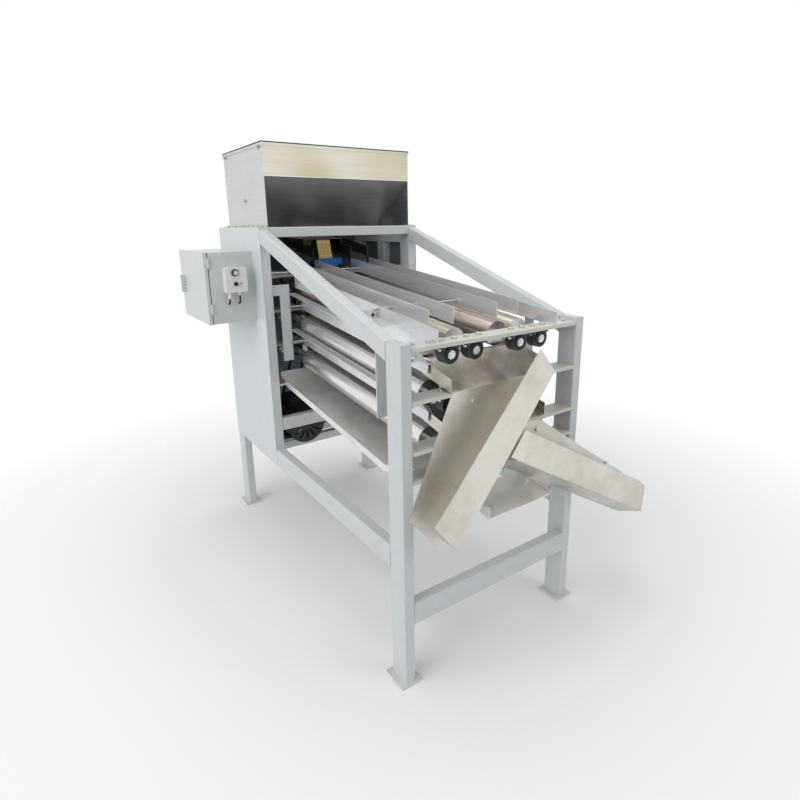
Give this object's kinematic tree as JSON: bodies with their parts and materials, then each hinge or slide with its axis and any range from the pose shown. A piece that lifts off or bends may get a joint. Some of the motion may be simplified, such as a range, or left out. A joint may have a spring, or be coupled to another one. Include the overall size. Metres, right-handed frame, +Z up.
{
  "type": "nut grading machine",
  "caption": "Roller nut grading machine: hopper, vibrating feeder, stacked tiers of sloping roller pairs and outlets to the left, right and middle.",
  "frame": {"origin": "on the floor, under the middle of the machine's whole extent", "axes": "+Z up, -Y towards the outlets, -X towards the control box"},
  "size_m": [1.362, 1.71, 1.82],
  "materials": {
    "light_grey_paint": "semi-gloss",
    "stainless_sheet": "brushed",
    "roller_steel": "worn, streaked",
    "bright_steel": "turned",
    "dark_steel_sheet": "oiled",
    "green_cast_iron": "painted",
    "blue_motor_paint": "semi-gloss",
    "dark_motor_paint": "semi-gloss",
    "blue_base_paint": "semi-gloss",
    "yellow_spring": "glass fibre laminate",
    "black_plastic": "matte",
    "white_plastic": "matte",
    "black_rubber": "matte",
    "pale_box_paint": "fine textured",
    "switchgear_plastic": "matte"
  },
  "bodies": {
    "frame": {"front_legs": "light_grey_paint", "rear_legs": "light_grey_paint", "posts": "light_grey_paint", "side_rails": "light_grey_paint", "foot_plates": "light_grey_paint", "cross_rails": "light_grey_paint", "braces": "light_grey_paint", "top_frame": "light_grey_paint", "housing_members": "light_grey_paint", "side_covers": "light_grey_paint", "rear_cover": "light_grey_paint", "front_bars": "light_grey_paint", "rear_bars": "light_grey_paint", "front_blocks": "green_cast_iron", "rear_blocks": "green_cast_iron", "drive_belts": "black_rubber", "motor_frame": "dark_motor_paint", "motor_cowl": "black_plastic", "motor_stand": "blue_motor_paint", "hopper": "stainless_sheet", "feeder_base": "blue_base_paint", "leaf_springs": "yellow_spring", "feeder_magnet": "black_plastic", "lane_guides": "stainless_sheet", "guide_rods": "bright_steel", "lane_inlets": "stainless_sheet", "side_sheets": "stainless_sheet", "lower_guides": "stainless_sheet", "guide_strips": "light_grey_paint", "bottom_tray": "stainless_sheet", "catch_trays": "stainless_sheet", "upper_chute": "stainless_sheet", "middle_chute": "stainless_sheet", "lower_dish": "stainless_sheet", "control_box": "pale_box_paint", "switchgear": "switchgear_plastic", "controller": "pale_box_paint", "cable_glands": "white_plastic", "controller_cords": "black_rubber"},
    "roller_1a": {"roller_1a": "roller_steel"},
    "roller_1b": {"roller_1b": "roller_steel"},
    "roller_1c": {"roller_1c": "roller_steel"},
    "roller_1d": {"roller_1d": "roller_steel"},
    "roller_2a": {"roller_2a": "roller_steel"},
    "roller_2b": {"roller_2b": "roller_steel"},
    "roller_2c": {"roller_2c": "roller_steel"},
    "roller_2d": {"roller_2d": "roller_steel"},
    "roller_3a": {"roller_3a": "roller_steel"},
    "roller_3b": {"roller_3b": "roller_steel"},
    "roller_3c": {"roller_3c": "roller_steel"},
    "roller_3d": {"roller_3d": "roller_steel"},
    "feeder_pan": {"feeder_pan": "dark_steel_sheet"},
    "control_door": {"control_door": "pale_box_paint"},
    "door_latch": {"door_latch": "black_plastic"},
    "dial_knob": {"dial_knob": "black_plastic"},
    "switch_knob": {"switch_knob": "black_plastic"},
    "toggle_lever": {"toggle_lever": "bright_steel"},
    "motor_rotor": {"motor_rotor": "bright_steel"}
  },
  "joints": [
    {"name": "roller_3b_spin", "type": "hinge", "parent": "frame", "child": "roller_3b", "pos_m": [-0.152, -0.12502, 0.84271], "axis": [0, 0.9945, 0.1045], "continuous": true},
    {"name": "roller_3a_spin", "type": "hinge", "parent": "frame", "child": "roller_3a", "pos_m": [-0.2526, -0.12502, 0.84271], "axis": [0, 0.9945, 0.1045], "continuous": true},
    {"name": "roller_3d_spin", "type": "hinge", "parent": "frame", "child": "roller_3d", "pos_m": [0.1426, -0.12502, 0.84271], "axis": [0, 0.9945, 0.1045], "continuous": true},
    {"name": "roller_3c_spin", "type": "hinge", "parent": "frame", "child": "roller_3c", "pos_m": [0.042, -0.12502, 0.84271], "axis": [0, 0.9945, 0.1045], "continuous": true},
    {"name": "roller_2b_spin", "type": "hinge", "parent": "frame", "child": "roller_2b", "pos_m": [-0.152, -0.14165, 1.00097], "axis": [0, 0.9945, 0.1045], "continuous": true},
    {"name": "roller_2a_spin", "type": "hinge", "parent": "frame", "child": "roller_2a", "pos_m": [-0.2526, -0.14165, 1.00097], "axis": [0, 0.9945, 0.1045], "continuous": true},
    {"name": "roller_2d_spin", "type": "hinge", "parent": "frame", "child": "roller_2d", "pos_m": [0.1426, -0.14165, 1.00097], "axis": [0, 0.9945, 0.1045], "continuous": true},
    {"name": "roller_2c_spin", "type": "hinge", "parent": "frame", "child": "roller_2c", "pos_m": [0.042, -0.14165, 1.00097], "axis": [0, 0.9945, 0.1045], "continuous": true},
    {"name": "roller_1b_spin", "type": "hinge", "parent": "frame", "child": "roller_1b", "pos_m": [-0.152, -0.15829, 1.15922], "axis": [0, 0.9945, 0.1045], "continuous": true},
    {"name": "roller_1a_spin", "type": "hinge", "parent": "frame", "child": "roller_1a", "pos_m": [-0.2526, -0.15829, 1.15922], "axis": [0, 0.9945, 0.1045], "continuous": true},
    {"name": "roller_1d_spin", "type": "hinge", "parent": "frame", "child": "roller_1d", "pos_m": [0.1426, -0.15829, 1.15922], "axis": [0, 0.9945, 0.1045], "continuous": true},
    {"name": "roller_1c_spin", "type": "hinge", "parent": "frame", "child": "roller_1c", "pos_m": [0.042, -0.15829, 1.15922], "axis": [0, 0.9945, 0.1045], "continuous": true},
    {"name": "motor_spin", "type": "hinge", "parent": "frame", "child": "motor_rotor", "pos_m": [-0.26, 0.50846, 0.5556], "axis": [0, 0.9945, 0.1045], "continuous": true},
    {"name": "pan_shake", "type": "slide", "parent": "frame", "child": "feeder_pan", "axis": [0, -0.9703, 0.2419], "range_m": [-0.0005, 0.0005], "stiffness_N_per_m": 150000},
    {"name": "door_hinge", "type": "hinge", "parent": "frame", "child": "control_door", "pos_m": [-0.647, 0.39, 1.228], "axis": [0, 0, 1], "range_deg": [0, 110]},
    {"name": "latch_turn", "type": "hinge", "parent": "control_door", "child": "door_latch", "pos_m": [-0.665, 0.757, 1.228], "axis": [1, 0, 0], "range_deg": [0, 90]},
    {"name": "dial_turn", "type": "hinge", "parent": "frame", "child": "dial_knob", "pos_m": [-0.549, 0.35, 1.295], "axis": [0, 1, 0], "range_deg": [0, 270]},
    {"name": "switch_turn", "type": "hinge", "parent": "frame", "child": "switch_knob", "pos_m": [-0.549, 0.35, 1.248], "axis": [0, 1, 0], "range_deg": [0, 90]},
    {"name": "toggle_flip", "type": "hinge", "parent": "frame", "child": "toggle_lever", "pos_m": [-0.527, 0.356, 1.249], "axis": [1, 0, 0], "range_deg": [-15, 15]}
  ],
  "couplings": [
    {"joint": "roller_3a_spin", "follows": "roller_3b_spin", "ratio": -1},
    {"joint": "roller_3d_spin", "follows": "roller_3b_spin", "ratio": 1},
    {"joint": "roller_3c_spin", "follows": "roller_3b_spin", "ratio": -1},
    {"joint": "roller_2b_spin", "follows": "roller_3b_spin", "ratio": 1},
    {"joint": "roller_2a_spin", "follows": "roller_3b_spin", "ratio": -1},
    {"joint": "roller_2d_spin", "follows": "roller_3b_spin", "ratio": 1},
    {"joint": "roller_2c_spin", "follows": "roller_3b_spin", "ratio": -1},
    {"joint": "roller_1b_spin", "follows": "roller_3b_spin", "ratio": 1},
    {"joint": "roller_1a_spin", "follows": "roller_3b_spin", "ratio": -1},
    {"joint": "roller_1d_spin", "follows": "roller_3b_spin", "ratio": 1},
    {"joint": "roller_1c_spin", "follows": "roller_3b_spin", "ratio": -1},
    {"joint": "motor_spin", "follows": "roller_3b_spin", "ratio": 1.5882}
  ]
}
